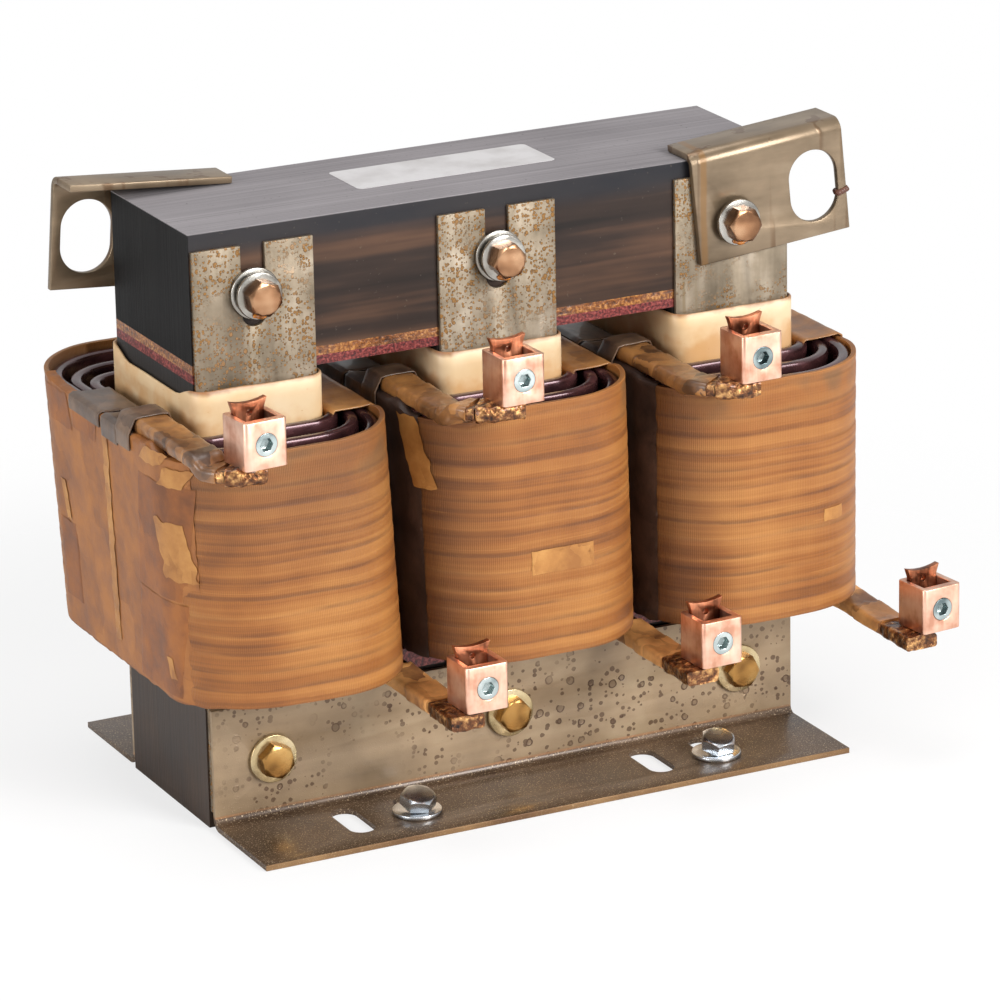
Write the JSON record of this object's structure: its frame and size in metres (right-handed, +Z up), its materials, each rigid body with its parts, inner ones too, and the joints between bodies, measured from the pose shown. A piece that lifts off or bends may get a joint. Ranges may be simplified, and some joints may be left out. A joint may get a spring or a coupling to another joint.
{
  "type": "three phase line reactor",
  "caption": "Open three phase line reactor: laminated core, taped flat copper coils on the legs, folded steel feet with slots, lifting brackets and copper box lugs.",
  "frame": {"origin": "middle of the underside of the core, in the plane of the feet", "axes": "+X along the core to the right seen from the lugs, -Y towards the lugs, +Z up"},
  "size_m": [0.2856, 0.1774, 0.2204],
  "materials": {
    "core_iron": "varnished laminations, dark",
    "yoke_iron": "varnished laminations, satin",
    "amber_sheet": "varnished amber sheet",
    "red_sheet": "red fibre sheet",
    "strap_steel": "bare steel with varnish drops",
    "foot_steel": "varnished steel",
    "lifting_steel": "varnished steel",
    "former_board": "stained insulation board",
    "winding_enamel": "enamelled flat copper",
    "stick_wood": "plain sticks",
    "wrap_tape": "varnished woven tape",
    "band_tape": "varnished tape",
    "lead_copper": "hammered copper",
    "sleeve_tape": "varnished tape",
    "lug_copper": "satin copper",
    "tang_copper": "heat stained copper",
    "screw_zinc": "bright zinc",
    "bolt_zinc": "yellow zinc",
    "nut_zinc": "zinc",
    "washer_zinc": "zinc",
    "pale_washer": "pale zinc",
    "bright_zinc": "bright zinc"
  },
  "bodies": {
    "root": {"core_e_stack": "core_iron", "core_i_yoke": "yoke_iron", "gap_sheet_top": "amber_sheet", "gap_sheet_middle": "amber_sheet", "gap_sheet_red": "red_sheet", "window_sheet_left": "red_sheet", "window_sheet_right": "red_sheet", "front_strap_left": "strap_steel", "front_strap_middle": "strap_steel", "front_strap_right": "strap_steel", "rear_strap_left": "strap_steel", "rear_strap_middle": "strap_steel", "rear_strap_right": "strap_steel", "front_foot_bracket": "foot_steel", "rear_foot_bracket": "foot_steel", "front_lifting_bracket": "lifting_steel", "rear_lifting_bracket": "lifting_steel", "former_tube_left": "former_board", "former_tube_middle": "former_board", "former_tube_right": "former_board", "winding_left": "winding_enamel", "winding_middle": "winding_enamel", "winding_right": "winding_enamel", "duct_sticks_left": "stick_wood", "duct_sticks_middle": "stick_wood", "duct_sticks_right": "stick_wood", "tape_wrap_left": "wrap_tape", "tape_wrap_middle": "wrap_tape", "tape_wrap_right": "wrap_tape", "tape_bands_left": "band_tape", "tape_bands_middle": "band_tape", "tape_bands_right": "band_tape", "upper_lead_left": "lead_copper", "upper_lead_middle": "lead_copper", "upper_lead_right": "lead_copper", "lower_lead_left": "lead_copper", "lower_lead_middle": "lead_copper", "lower_lead_right": "lead_copper", "upper_sleeve_left": "sleeve_tape", "upper_sleeve_middle": "sleeve_tape", "upper_sleeve_right": "sleeve_tape", "lower_sleeve_left": "sleeve_tape", "lower_sleeve_middle": "sleeve_tape", "lower_sleeve_right": "sleeve_tape", "upper_lug_left": "lug_copper", "upper_lug_middle": "lug_copper", "upper_lug_right": "lug_copper", "lower_lug_left": "lug_copper", "lower_lug_middle": "lug_copper", "lower_lug_right": "lug_copper", "lug_tangs": "tang_copper", "set_screws": "screw_zinc", "core_bolts": "bolt_zinc", "core_nuts": "nut_zinc", "upper_washers": "washer_zinc", "lock_washers": "washer_zinc", "lower_washers": "pale_washer", "foot_bolts": "bright_zinc", "foot_washers": "bright_zinc"}
  },
  "joints": []
}
